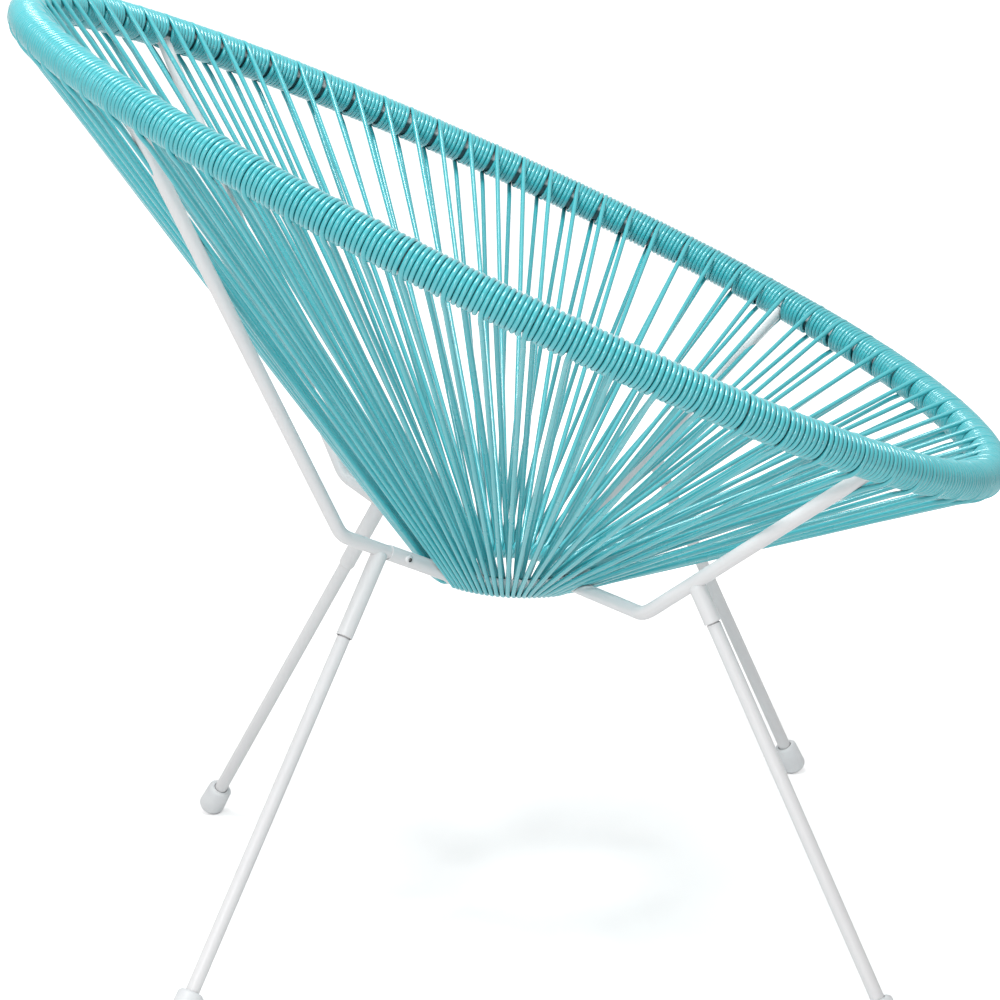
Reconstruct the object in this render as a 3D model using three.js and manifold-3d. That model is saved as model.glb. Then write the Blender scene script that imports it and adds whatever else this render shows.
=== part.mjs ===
// Acapulco chair: an egg-shaped steel rim wound with PVC cord, a small ring low in the middle,
// cords laced between the two, four bent arms from the ring to the rim, and four plug-in legs.
// Millimetres, +Z up, the front of the seat towards -Y. The origin lies on the floor under the
// middle of the rim.
import * as THREE from "three";
import Module from "manifold-3d";

const wasm = await Module();
wasm.setup();

const DEGREE = Math.PI / 180;
const TURN = 2 * Math.PI;

// Clearances
const FIT = 0.3; // between touching pieces
const SLIDE = 0.35; // round a plugged tube
const BITE = 3; // how far a piece runs into another one that it is cut by or joined to

// Rim: one tube bent to an egg in a plane that leans back. The quarter points are the places
// where it runs straight fore and aft, a little forward of the middle.
const RIM_TUBE = 22;
const RIM_HALF_LENGTH = 428.4;
const RIM_HALF_WIDTH = 370.7;
const EGG_WIDTH_SHARE = 0.084;
const EGG_LENGTH_SHARE = 0.144;
const RIM_LEAN = 26.4 * DEGREE;
const RIM_MIDDLE_HEIGHT = 581.4;

// Small ring that gathers the cords
const FRAME_TUBE = 11.4;
const FRAME_WALL = 1.2;
const RING_RADIUS = 61.9;
const RING_HEIGHT = 298.1;
const RING_SETBACK = 9.8;
const RING_LEAN = 4.9 * DEGREE;

// Arms: each leaves the ring, bends once and runs straight up to the rim. Angles are counted
// from the front: round the ring, and as the rim's own parameter.
const REAR_ARM = {
  ringAngle: 143.7 * DEGREE,
  rimAngle: 148.4 * DEGREE,
  bend: new THREE.Vector3(100.8, 147.8, 356.1),
  bendRadius: 24,
};
const FRONT_ARM = {
  ringAngle: 42.4 * DEGREE,
  rimAngle: 64 * DEGREE,
  bend: new THREE.Vector3(192.1, -87.7, 309.1),
  bendRadius: 24,
};

// Rear arms come off: a necked end plugs into a stub on the ring and one screw holds it
const STUB_TUBE = 13;
const STUB_WALL = 1.2;
const STUB_LENGTH = 71;
const NECK_LENGTH = 52;
const SCREW_PLACE = 53;
const SCREW_SHANK = 4;
const SCREW_HEAD = 7.6;
const SCREW_HEAD_HEIGHT = 2.4;
const SCREW_KEY = 2.5;
const SCREW_KEY_DEPTH = 1.3;
const SCREW_TIP = 1.5;

// Legs: straight tubes plugged into sockets that are welded under the arms
const SOCKET_TUBE = 14;
const SOCKET_WALL = 1;
const LEG_TUBE = 11.4;
const LEG_WALL = 1.2;
const PLUG_GAP = 3; // a plugged leg stops this far below the arm
const REAR_SOCKET_PLACE = 78.4; // along the low run, from the ring
const REAR_SOCKET_LENGTH = 77.7;
const REAR_FOOT = new THREE.Vector3(255.6, 288.4, 0);
const FRONT_SOCKET_PLACE = 56.6; // along the rising run, from the bend
const FRONT_SOCKET_LENGTH = 34;
const FRONT_FOOT = new THREE.Vector3(313.3, -267.9, 0);

// Feet: plastic caps on the legs, worn flat where they meet the floor
const FOOT_TOP = 21.6;
const FOOT_BASE = 23.6;
const FOOT_LENGTH = 29;
const FOOT_EDGE = 6;
const FOOT_CHAMFER = 2.4;
const FOOT_BORE_DEPTH = 20;
const FOOT_WEAR = 0.8;

// Lacing: the cord winds round the rim in groups of turns, and between two groups it runs down to
// the ring and back. The arms sit between groups, and split the loops into four runs.
const CORD = 4.2;
const FRONT_LOOPS = 22;
const RIGHT_LOOPS = 23;
const REAR_LOOPS = 16;
const LEFT_LOOPS = 20;
const LOOPS_PER_SECTOR = 8;
const FIRST_LOWER = 14; // a run's first lower strand leaves the rim this far past the arm
const GROUP_DIP = 1; // how far the winding dips between two groups
const SECTOR_GAP = 0.5;

// Facets
const RIM_SIDES = 8;
const TUBE_SIDES = 8;
const WINDING_SIDES = 8;
const RING_STEPS = 32;
const BEND_STEPS = 5;
const LOOP_STEPS = 3;
const FOOT_SIDES = 14;
const FOOT_EDGE_STEPS = 4;
const HEXAGON = 6;
const RIM_DIVISIONS = 4000; // for measuring along the rim
const MERGE = 1e-4; // corners closer than this are one

const UP = new THREE.Vector3(0, 0, 1);

const steel = new THREE.MeshStandardMaterial({ color: 0xe9e9ea, roughness: 0.35, metalness: 0 });
const plastic = new THREE.MeshStandardMaterial({ color: 0xe4e5e6, roughness: 0.5, metalness: 0 });
const zinc = new THREE.MeshStandardMaterial({ color: 0xb9bcbb, roughness: 0.35, metalness: 1 });
const cord = new THREE.MeshStandardMaterial({ color: 0x3fb0b5, roughness: 0.4, metalness: 0 });

const chair = new THREE.Group();

function at(start, direction, distance) {
  return start.clone().addScaledVector(direction, distance);
}

function towards(start, end) {
  return end.clone().sub(start).normalize();
}

function mirrored(point, side) {
  return new THREE.Vector3(side * point.x, point.y, point.z);
}

// A closed skin through rings of points, all of one count. The ends are capped, or joined to
// each other where the rings go round.
function skin(rings, goesRound = false) {
  const count = rings[0].length;
  const positions = rings.flat().flatMap((point) => point.toArray());
  const faces = [];
  const last = goesRound ? rings.length : rings.length - 1;
  for (let row = 0; row < last; row++) {
    const here = row * count;
    const next = ((row + 1) % rings.length) * count;
    for (let i = 0; i < count; i++) {
      const j = (i + 1) % count;
      faces.push(here + i, here + j, next + j, here + i, next + j, next + i);
    }
  }
  if (!goesRound) {
    const far = (rings.length - 1) * count;
    for (let i = 0; i < count / 2 - 1; i++) {
      const quad = [i, i + 1, count - 2 - i, count - 1 - i];
      faces.push(quad[0], quad[2], quad[1], quad[0], quad[3], quad[2]);
      const [a, b, c, d] = quad.map((index) => far + index);
      faces.push(a, b, c, a, c, d);
    }
  }
  return solid(positions, faces);
}

function solid(positions, faces) {
  const made = new wasm.Manifold(
    new wasm.Mesh({
      numProp: 3,
      vertProperties: Float32Array.from(positions),
      triVerts: Uint32Array.from(faces),
    }),
  );
  if (made.volume() > 0) return made;
  const turned = [];
  for (let i = 0; i < faces.length; i += 3) turned.push(faces[i], faces[i + 2], faces[i + 1]);
  return solid(positions, turned);
}

function place(name, shape, material) {
  const mesh = shape.getMesh();
  const geometry = new THREE.BufferGeometry();
  geometry.setAttribute("position", new THREE.BufferAttribute(mesh.vertProperties, mesh.numProp));
  geometry.setIndex(new THREE.BufferAttribute(mesh.triVerts, 1));
  geometry.computeVertexNormals();
  const piece = new THREE.Mesh(geometry, material);
  piece.name = name;
  chair.add(piece);
}

// Circle of points round a centre, from the two directions that span its plane
function circle(centre, across, along, radius, sides) {
  const points = [];
  for (let i = 0; i < sides; i++) {
    const angle = ((i + 0.5) / sides) * TURN;
    points.push(at(at(centre, across, radius * Math.cos(angle)), along, radius * Math.sin(angle)));
  }
  return points;
}

// Rings of points along a route, each square to it, with no twist between them
function sweep(route, radii, sides) {
  const start = towards(route[0], route[1]);
  const lean = Math.abs(start.z) > Math.abs(start.x) ? new THREE.Vector3(1, 0, 0) : UP;
  let across = lean.clone().cross(start).normalize();
  return route.map((point, i) => {
    const before = i > 0 ? towards(route[i - 1], point) : start;
    const after = i < route.length - 1 ? towards(point, route[i + 1]) : before;
    const heading = before.clone().add(after).normalize();
    across = across.addScaledVector(heading, -across.dot(heading)).normalize();
    const along = heading.clone().cross(across);
    return circle(point, across.clone(), along, radii[i], sides);
  });
}

function bar(route, radius, sides = TUBE_SIDES) {
  return skin(sweep(route, route.map(() => radius), sides));
}

// Cutter that leaves the clearance round a bar, however their facets are turned
function clearing(route, radius) {
  return bar(route, (radius + FIT) / Math.cos(TURN / 2 / TUBE_SIDES));
}

// Tube with open ends: the skin runs out along the outside and back along the bore
function tube(route, outerRadii, wall, sides = TUBE_SIDES) {
  const outside = sweep(route, outerRadii, sides);
  const bore = sweep(route, outerRadii.map((radius) => radius - wall), sides);
  return skin([...outside, ...bore.reverse()], true);
}

// Rim centre line

const rimForward = new THREE.Vector3(0, Math.cos(RIM_LEAN), Math.sin(RIM_LEAN));
const rimNormal = new THREE.Vector3(0, -Math.sin(RIM_LEAN), Math.cos(RIM_LEAN));
const rimMiddle = new THREE.Vector3(0, 0, RIM_MIDDLE_HEIGHT);

class RimCurve extends THREE.Curve {
  getPoint(share) {
    return this.atAngle(share * TURN);
  }

  atAngle(angle) {
    const eggWidth = RIM_HALF_WIDTH * EGG_WIDTH_SHARE;
    const eggLength = RIM_HALF_LENGTH * EGG_LENGTH_SHARE;
    const side = RIM_HALF_WIDTH * Math.sin(angle) - eggWidth * Math.sin(2 * angle);
    const back = eggLength * (Math.cos(2 * angle) - 1) - RIM_HALF_LENGTH * Math.cos(angle);
    return at(rimMiddle, rimForward, back).setX(side);
  }
}

const rim = new RimCurve();
rim.arcLengthDivisions = RIM_DIVISIONS;
const rimLength = rim.getLength();
const rimLengths = rim.getLengths();

// Share of the rim's length, from the front, at an angle of its parameter
function rimShare(angle) {
  const index = (angle / TURN) * RIM_DIVISIONS;
  const low = Math.floor(index);
  const length = rimLengths[low] + (index - low) * (rimLengths[low + 1] - rimLengths[low]);
  return length / rimLength;
}

// Place on the rim at a share of its length, which may run past one turn
function rimStation(share) {
  const turned = share - Math.floor(share);
  const tangent = rim.getTangentAt(turned);
  return {
    centre: rim.getPointAt(turned),
    tangent,
    outward: tangent.clone().cross(rimNormal),
  };
}

function rimSection(share, radius, sides) {
  const station = rimStation(share);
  return circle(station.centre, station.outward, rimNormal, radius, sides);
}

// Ring centre line

const ringMiddle = new THREE.Vector3(0, RING_SETBACK, RING_HEIGHT);
const ringForward = new THREE.Vector3(0, Math.cos(RING_LEAN), Math.sin(RING_LEAN));
const ringNormal = new THREE.Vector3(0, -Math.sin(RING_LEAN), Math.cos(RING_LEAN));

function ringOutward(angle) {
  return new THREE.Vector3(Math.sin(angle), 0, 0).addScaledVector(ringForward, -Math.cos(angle));
}

function ringAlong(angle) {
  return new THREE.Vector3(Math.cos(angle), 0, 0).addScaledVector(ringForward, Math.sin(angle));
}

function ringPoint(angle) {
  return at(ringMiddle, ringOutward(angle), RING_RADIUS);
}

function ringTube(radius) {
  const rings = [];
  for (let i = 0; i < RING_STEPS; i++) {
    const angle = (i / RING_STEPS) * TURN;
    rings.push(circle(ringPoint(angle), ringOutward(angle), ringNormal, radius, TUBE_SIDES));
  }
  return skin(rings, true);
}

// Runs of lacing between the arms, counted round from the right front arm. A run holds its number
// of loops, the two arms that it lies between, each with its side, and their places on the rim and
// on the ring.

const runs = [
  { name: "right", loops: RIGHT_LOOPS, arms: [FRONT_ARM, REAR_ARM], sides: [1, 1] },
  { name: "rear", loops: REAR_LOOPS, arms: [REAR_ARM, REAR_ARM], sides: [1, -1] },
  { name: "left", loops: LEFT_LOOPS, arms: [REAR_ARM, FRONT_ARM], sides: [-1, -1] },
  { name: "front", loops: FRONT_LOOPS, arms: [FRONT_ARM, FRONT_ARM], sides: [-1, 1] },
];
runs.forEach((run, i) => {
  const turned = run.sides.map((side, end) => (side < 0 ? 1 : Math.floor((i + end) / runs.length)));
  run.rim = run.arms.map((arm, end) => turned[end] + run.sides[end] * rimShare(arm.rimAngle));
  run.ring = run.arms.map((arm, end) => turned[end] * TURN + run.sides[end] * arm.ringAngle);
});

// Rim tube, with a facet edge at every gap between groups, so that the winding follows it

function rimTube(radius) {
  const rings = [];
  for (const run of runs) {
    for (let i = 0; i < run.loops; i++) {
      const share = run.rim[0] + (i / run.loops) * (run.rim[1] - run.rim[0]);
      rings.push(rimSection(share, radius, RIM_SIDES));
    }
  }
  return skin(rings, true);
}

place("rim_tube", rimTube(RIM_TUBE / 2), steel);
place("seat_ring", ringTube(FRAME_TUBE / 2), steel);

const rimCutter = rimTube(RIM_TUBE / 2 + FIT);
const ringCutter = ringTube(FRAME_TUBE / 2 + FIT);

// Arms

function armPoints(arm, side) {
  const angle = side > 0 ? arm.ringAngle : TURN - arm.ringAngle;
  return {
    ring: ringPoint(angle),
    bend: mirrored(arm.bend, side),
    rim: mirrored(rim.atAngle(arm.rimAngle), side),
  };
}

// Route round a bend: the corner is replaced by an arc that touches both runs
function bentRoute(points, radius) {
  const into = towards(points.ring, points.bend);
  const out = towards(points.bend, points.rim);
  const angle = into.angleTo(out);
  const setback = radius * Math.tan(angle / 2);
  const start = at(points.bend, into, -setback);
  const centreLine = out.clone().sub(into.clone().multiplyScalar(into.dot(out))).normalize();
  const centre = at(start, centreLine, radius);
  const route = [];
  for (let i = 0; i <= BEND_STEPS; i++) {
    const turned = (i / BEND_STEPS) * angle;
    const spoke = at(centre, centreLine, -radius * Math.cos(turned));
    route.push(at(spoke, into, radius * Math.sin(turned)));
  }
  return route;
}

function frontArm(name, side) {
  const points = armPoints(FRONT_ARM, side);
  const route = [points.ring, ...bentRoute(points, FRONT_ARM.bendRadius), points.rim];
  const shape = tube(route, route.map(() => FRAME_TUBE / 2), FRAME_WALL);
  place(name, largest(shape.subtract(rimCutter).subtract(ringCutter)), steel);
}

// The largest piece that a cut leaves
function largest(shape) {
  return shape.decompose().sort((a, b) => b.volume() - a.volume())[0];
}

const neckRadius = STUB_TUBE / 2 - STUB_WALL - SLIDE;

function screwAxis(points) {
  const run = towards(points.ring, points.bend);
  return {
    centre: at(points.ring, run, SCREW_PLACE),
    heading: run.clone().cross(UP).normalize().multiplyScalar(Math.sign(points.bend.x)),
  };
}

function screwHole(points) {
  const { centre, heading } = screwAxis(points);
  const reach = STUB_TUBE;
  return clearing([at(centre, heading, -reach), at(centre, heading, reach)], SCREW_SHANK / 2);
}

function rearArm(name, side) {
  const points = armPoints(REAR_ARM, side);
  const run = towards(points.ring, points.bend);
  const shoulder = STUB_LENGTH + FIT;
  const route = [
    at(points.ring, run, STUB_LENGTH - NECK_LENGTH),
    at(points.ring, run, shoulder),
    at(points.ring, run, shoulder + (FRAME_TUBE / 2 - neckRadius) / 2),
    ...bentRoute(points, REAR_ARM.bendRadius),
    points.rim,
  ];
  const radii = route.map((_, i) => (i < 2 ? neckRadius : FRAME_TUBE / 2));
  const shape = tube(route, radii, FRAME_WALL).subtract(screwHole(points));
  place(name, largest(shape.subtract(rimCutter)), steel);
}

function stub(name, side) {
  const points = armPoints(REAR_ARM, side);
  const run = towards(points.ring, points.bend);
  const end = at(points.ring, run, STUB_LENGTH);
  const shape = tube([points.ring, end], [STUB_TUBE / 2, STUB_TUBE / 2], STUB_WALL);
  place(name, largest(shape.subtract(ringCutter).subtract(screwHole(points))), steel);
}

function screw(name, side) {
  const { centre, heading } = screwAxis(armPoints(REAR_ARM, side));
  const seat = STUB_TUBE / 2 + FIT;
  const top = seat + SCREW_HEAD_HEIGHT;
  const keyEnd = top - SCREW_KEY_DEPTH;
  const rounding = SCREW_HEAD_HEIGHT / 2;
  const along = (...distances) => distances.map((distance) => at(centre, heading, distance));
  const shank = bar(along(-seat - SCREW_TIP, keyEnd), SCREW_SHANK / 2);
  const headRadii = [SCREW_HEAD / 2, SCREW_HEAD / 2, SCREW_HEAD / 2 - rounding];
  const head = skin(sweep(along(seat, seat + rounding, top), headRadii, TUBE_SIDES));
  const key = bar(along(keyEnd, top + FIT), SCREW_KEY / Math.sqrt(3), HEXAGON);
  place(name, head.add(shank).subtract(key), zinc);
}

// Sockets, legs and feet share one axis, from a place on the arm to a point on the floor

function legAxis(arm, side) {
  const points = armPoints(arm, side);
  const rear = arm === REAR_ARM;
  const start = rear ? points.ring : points.bend;
  const end = rear ? points.bend : points.rim;
  const top = at(start, towards(start, end), rear ? REAR_SOCKET_PLACE : FRONT_SOCKET_PLACE);
  const floor = mirrored(rear ? REAR_FOOT : FRONT_FOOT, side);
  return {
    start,
    end,
    top,
    floor,
    down: towards(top, floor),
    socketEnd: rear ? REAR_SOCKET_LENGTH : FRONT_SOCKET_LENGTH,
  };
}

function socket(name, axis) {
  const shape = tube(
    [at(axis.top, axis.down, FRAME_TUBE / 2 - BITE), at(axis.top, axis.down, axis.socketEnd)],
    [SOCKET_TUBE / 2, SOCKET_TUBE / 2],
    SOCKET_WALL,
  );
  place(name, largest(shape.subtract(clearing([axis.start, axis.end], FRAME_TUBE / 2))), steel);
}

// Height of the lowest point of an upright foot's rounded edge, once the foot leans with its leg
function footDrop(lean) {
  const flat = FOOT_BASE / 2 - FOOT_EDGE;
  return flat * Math.sin(lean) + FOOT_EDGE * (1 - Math.cos(lean));
}

function footStart(axis) {
  const lean = axis.down.angleTo(UP.clone().negate());
  const height = (footDrop(lean) - FOOT_WEAR) / Math.cos(lean);
  return at(axis.floor, axis.down, -height);
}

function leg(name, axis) {
  const bottom = at(footStart(axis), axis.down, -(FOOT_LENGTH - FOOT_BORE_DEPTH + FIT));
  const top = at(axis.top, axis.down, FRAME_TUBE / 2 + PLUG_GAP);
  place(name, tube([bottom, top], [LEG_TUBE / 2, LEG_TUBE / 2], LEG_WALL), steel);
}

function foot(name, axis) {
  const base = footStart(axis);
  const rise = axis.down.clone().negate();
  const baseRadius = FOOT_BASE / 2;
  const topRadius = FOOT_TOP / 2;
  const boreRadius = LEG_TUBE / 2 + SLIDE;
  const boreBottom = FOOT_LENGTH - FOOT_BORE_DEPTH;
  const profile = [new THREE.Vector2(0, 0)];
  const arc = new THREE.EllipseCurve(baseRadius - FOOT_EDGE, FOOT_EDGE, FOOT_EDGE, FOOT_EDGE, -TURN / 4, 0);
  profile.push(...arc.getPoints(FOOT_EDGE_STEPS));
  profile.push(
    new THREE.Vector2(topRadius, FOOT_LENGTH - FOOT_CHAMFER),
    new THREE.Vector2(topRadius - FOOT_CHAMFER, FOOT_LENGTH),
    new THREE.Vector2(boreRadius, FOOT_LENGTH),
    new THREE.Vector2(boreRadius, boreBottom),
    new THREE.Vector2(0, boreBottom),
  );
  const lathe = new THREE.LatheGeometry(profile, FOOT_SIDES);
  const turn = new THREE.Quaternion().setFromUnitVectors(new THREE.Vector3(0, 1, 0), rise);
  lathe.applyQuaternion(turn).translate(base.x, base.y, base.z);
  const shape = solidOf(lathe);
  const floor = new THREE.BoxGeometry(2 * FOOT_LENGTH, 2 * FOOT_LENGTH, FOOT_LENGTH);
  floor.translate(axis.floor.x, axis.floor.y, -FOOT_LENGTH / 2);
  place(name, shape.subtract(solidOf(floor)), plastic);
}

// A three.js geometry as a solid, its shared corners merged and its flat triangles dropped
function solidOf(geometry) {
  const source = geometry.index ? geometry.toNonIndexed() : geometry;
  const values = source.getAttribute("position").array;
  const seen = new Map();
  const positions = [];
  const corners = [];
  for (let i = 0; i < values.length; i += 3) {
    const key = values.slice(i, i + 3).map((value) => Math.round(value / MERGE)).join(" ");
    if (!seen.has(key)) {
      seen.set(key, seen.size);
      positions.push(values[i], values[i + 1], values[i + 2]);
    }
    corners.push(seen.get(key));
  }
  const faces = [];
  for (let i = 0; i < corners.length; i += 3) {
    const [a, b, c] = corners.slice(i, i + 3);
    if (a !== b && b !== c && c !== a) faces.push(a, b, c);
  }
  return solid(positions, faces);
}

for (const [side, hand] of [
  [1, "right"],
  [-1, "left"],
]) {
  frontArm(`front_arm_${hand}`, side);
  rearArm(`rear_arm_${hand}`, side);
  stub(`rear_stub_${hand}`, side);
  screw(`rear_arm_screw_${hand}`, side);
  for (const [arm, end] of [
    [FRONT_ARM, "front"],
    [REAR_ARM, "rear"],
  ]) {
    const axis = legAxis(arm, side);
    socket(`${end}_socket_${hand}`, axis);
    leg(`${end}_leg_${hand}`, axis);
    foot(`${end}_foot_${hand}`, axis);
  }
}

// Lacing

const cordRadius = CORD / 2;
const windingRadius = RIM_TUBE / 2 + CORD;
const rimTouch = RIM_TUBE / 2 + cordRadius; // from the rim's centre line to that of a cord on it
const ringTouch = FRAME_TUBE / 2 + cordRadius;
const armRoom = STUB_TUBE / 2 + cordRadius + FIT; // from an arm's centre line to that of a cord beside it
const strandHalf = cordRadius * Math.SQRT1_2; // half side of the square that fits inside the cord

// Angle on the ring that the lower strands of a run leave free after its first arm and before its
// last. An arm that doesn't leave the ring square to it takes more room on the side it turns to.
for (const run of runs) {
  run.rooms = run.arms.map((arm, end) => {
    const { ring, bend } = armPoints(arm, run.sides[end]);
    const low = towards(ring, bend);
    const outward = ringOutward(run.ring[end]);
    const sweep = Math.atan2(low.dot(ringAlong(run.ring[end])), low.dot(outward)) * (end === 0 ? 1 : -1);
    return (armRoom / Math.cos(sweep) + ringTouch * Math.tan(sweep)) / RING_RADIUS;
  });
}

// Places of loop j of a run on the rim and on the ring. Its upper strand sits at the gap between
// two groups of turns, and its lower strand passes beside the arm where there is one.
function loopPlaces(run, j) {
  const [rimStart, rimEnd] = run.rim;
  const [ringStart, ringEnd] = run.ring;
  const share = j / run.loops;
  const rimUpper = rimStart + share * (rimEnd - rimStart);
  const ringUpper = ringStart + share * (ringEnd - ringStart);
  const [afterArm, beforeArm] = run.rooms;
  const lowerShare = j / (run.loops - 1);
  return {
    rimUpper,
    ringUpper,
    rimLower: j > 0 ? rimUpper : rimStart + FIRST_LOWER / rimLength,
    ringLower: ringStart + afterArm + lowerShare * (ringEnd - ringStart - afterArm - beforeArm),
  };
}

// Frame of the cord where it rounds the ring: along the ring, out towards the rim, and up
function loopFrame(ringAngle, rimPoint) {
  const centre = ringPoint(ringAngle);
  const across = ringAlong(ringAngle);
  const out = rimPoint.clone().sub(centre);
  out.addScaledVector(across, -out.dot(across)).normalize();
  return { centre, across, out, upper: upright(across.clone().cross(out)) };
}

function upright(direction) {
  return direction.z < 0 ? direction.negate() : direction;
}

// Straight pieces of the arms, which the strands have to clear
const armRuns = [];
for (const side of [1, -1]) {
  for (const arm of [FRONT_ARM, REAR_ARM]) {
    const points = armPoints(arm, side);
    const route = [points.ring, ...bentRoute(points, arm.bendRadius), points.rim];
    const radii = route.map((_, i) => (arm === REAR_ARM && i === 0 ? STUB_TUBE / 2 : FRAME_TUBE / 2));
    route.slice(1).forEach((end, i) => armRuns.push({ start: route[i], end, radius: radii[i] }));
  }
}

// Nearest points of two straight runs
function nearest(a, b, c, d) {
  const first = b.clone().sub(a);
  const second = d.clone().sub(c);
  const offset = a.clone().sub(c);
  const dot = first.dot(second);
  const scale = first.lengthSq() * second.lengthSq() - dot * dot;
  const share = (dot * second.dot(offset) - first.dot(offset) * second.lengthSq()) / scale;
  const held = THREE.MathUtils.clamp(share, 0, 1);
  const other = (dot * held + second.dot(offset)) / second.lengthSq();
  return {
    share: held,
    on: at(a, first, held),
    off: at(c, second, THREE.MathUtils.clamp(other, 0, 1)),
  };
}

// Route of a strand from the ring to the rim. It touches the ring's circle of cords and the rim's,
// stops where it meets the winding, and bends over any arm that it would run into.
function strandRoute(rimPlace, ringAngle, side) {
  const station = rimStation(rimPlace);
  const frame = loopFrame(ringAngle, station.centre);
  const heading = towards(frame.centre, station.centre);
  const square = upright(heading.clone().cross(station.tangent).normalize());
  const start = at(frame.centre, frame.upper, side * ringTouch);
  const touch = at(station.centre, square, side * rimTouch);
  const pull = Math.sqrt((windingRadius + FIT) ** 2 - (rimTouch - strandHalf) ** 2);
  const last = towards(start, touch);
  const end = at(touch, last, -pull / Math.sin(last.angleTo(station.tangent)));
  const bends = [];
  for (const run of armRuns) {
    const { share, on, off } = nearest(start, end, run.start, run.end);
    const room = run.radius + cordRadius + FIT;
    const over = upright(towards(run.start, run.end).cross(last).normalize());
    const height = on.clone().sub(off).dot(over);
    const meets = share > 0 && share < 1 && on.distanceTo(off) < room;
    if (meets) bends.push({ share, point: at(on, over, room - height) });
  }
  bends.sort((a, b) => a.share - b.share);
  return { frame, points: [...bends.map((bend) => bend.point), end], start };
}

// Seat cords of one sector: their loops round the inner half of the ring, as one band that is
// split into square strands where they leave it above and below.
function seatCords(run, from, to) {
  const positions = [];
  const faces = [];
  const corner = (point) => positions.push(...point.toArray()) / 3 - 1;
  const quad = (a, b, c, d) => faces.push(a, b, c, a, c, d);
  const innerRadius = (ringTouch - strandHalf) / Math.cos(TURN / 4 / LOOP_STEPS);
  const outerRadius = ringTouch + strandHalf;
  const outer = [];
  const inner = [];
  const loops = [];
  for (let j = from; j < to; j++) {
    const places = loopPlaces(run, j);
    loops.push({
      places,
      above: strandRoute(places.rimUpper, places.ringUpper, 1),
      below: strandRoute(places.rimLower, places.ringLower, -1),
    });
  }
  for (let row = 0; row <= LOOP_STEPS; row++) {
    const blend = row / LOOP_STEPS;
    outer.push([]);
    inner.push([]);
    for (const { places } of loops) {
      const middle = THREE.MathUtils.lerp(places.ringUpper, places.ringLower, blend);
      const rimPoint = rimStation(THREE.MathUtils.lerp(places.rimUpper, places.rimLower, blend)).centre;
      for (const edge of [-1, 1]) {
        const frame = loopFrame(middle + (edge * strandHalf) / RING_RADIUS, rimPoint);
        const spoke = frame.upper.clone().multiplyScalar(Math.cos((blend * TURN) / 2));
        spoke.addScaledVector(frame.out, -Math.sin((blend * TURN) / 2));
        outer[row].push(corner(at(frame.centre, spoke, outerRadius)));
        inner[row].push(corner(at(frame.centre, spoke, innerRadius)));
      }
    }
  }
  const last = 2 * loops.length - 1;
  for (let row = 0; row < LOOP_STEPS; row++) {
    const [o, p, i, k] = [outer[row], outer[row + 1], inner[row], inner[row + 1]];
    for (let c = 0; c < last; c++) {
      quad(o[c], o[c + 1], p[c + 1], p[c]);
      quad(i[c], k[c], k[c + 1], i[c + 1]);
    }
    quad(o[0], p[0], k[0], i[0]);
    quad(p[last], o[last], i[last], k[last]);
  }
  const strand = (root, { frame, points, start }, side) => {
    let ring = root;
    points.forEach((point, i) => {
      const before = i > 0 ? points[i - 1] : start;
      const heading = towards(before, points[i + 1] ?? point);
      const across = frame.across.clone().projectOnPlane(heading).normalize();
      const radial = across.clone().cross(heading);
      radial.multiplyScalar(Math.sign(radial.dot(frame.upper)) * side);
      const corners = [[side, 1], [-side, 1], [-side, -1], [side, -1]];
      const next = corners.map(([x, y]) =>
        corner(at(at(point, across, x * strandHalf), radial, y * strandHalf)),
      );
      ring.forEach((here, n) => quad(here, ring[(n + 1) % 4], next[(n + 1) % 4], next[n]));
      ring = next;
    });
    quad(...ring);
  };
  const [top, topInner, foot, footInner] = [outer[0], inner[0], outer[LOOP_STEPS], inner[LOOP_STEPS]];
  for (let c = 0; c < last; c++) {
    const above = [top[c + 1], top[c], topInner[c], topInner[c + 1]];
    const below = [foot[c], foot[c + 1], footInner[c + 1], footInner[c]];
    if (c % 2 === 0) {
      strand(above, loops[c / 2].above, 1);
      strand(below, loops[c / 2].below, -1);
    } else {
      quad(...above);
      quad(...below);
    }
  }
  return solid(positions, faces);
}

// Sleeve of winding over one sector of the rim: it swells over each group of turns
function winding(run, from, to) {
  const outside = [];
  const bore = [];
  const [rimStart, rimEnd] = run.rim;
  const step = (rimEnd - rimStart) / run.loops;
  const boreRadius = (RIM_TUBE / 2 + FIT) / Math.cos(TURN / 2 / WINDING_SIDES);
  for (let j = from; j <= to; j++) {
    const inset = j === from ? 1 : j === to ? -1 : 0;
    const share = rimStart + j * step + (inset * SECTOR_GAP) / 2 / rimLength;
    outside.push(rimSection(share, windingRadius - GROUP_DIP, WINDING_SIDES));
    bore.push(rimSection(share, boreRadius, WINDING_SIDES));
    if (j < to) outside.push(rimSection(share + step / 2, windingRadius, WINDING_SIDES));
  }
  return skin([...outside, ...bore.reverse()], true);
}

const armCutter = armRuns
  .map((run) => clearing([run.start, run.end], run.radius))
  .reduce((all, shape) => all.add(shape));

for (const run of runs) {
  const sectors = Math.ceil(run.loops / LOOPS_PER_SECTOR);
  for (let k = 0; k < sectors; k++) {
    const from = Math.round((k / sectors) * run.loops);
    const to = Math.round(((k + 1) / sectors) * run.loops);
    place(`rim_winding_${run.name}_${k + 1}`, winding(run, from, to).subtract(armCutter), cord);
    place(`seat_cords_${run.name}_${k + 1}`, seatCords(run, from, to), cord);
  }
}

export default chair;
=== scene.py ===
"""Acapulco chair: an egg-shaped steel rim wound with turquoise cord, cords laced to a small ring,
bent white arms and plug-in legs. Metres, +Z up, the front of the seat towards -Y."""
import math

import bpy
import numpy as np
from mathutils import Matrix, Vector


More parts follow.
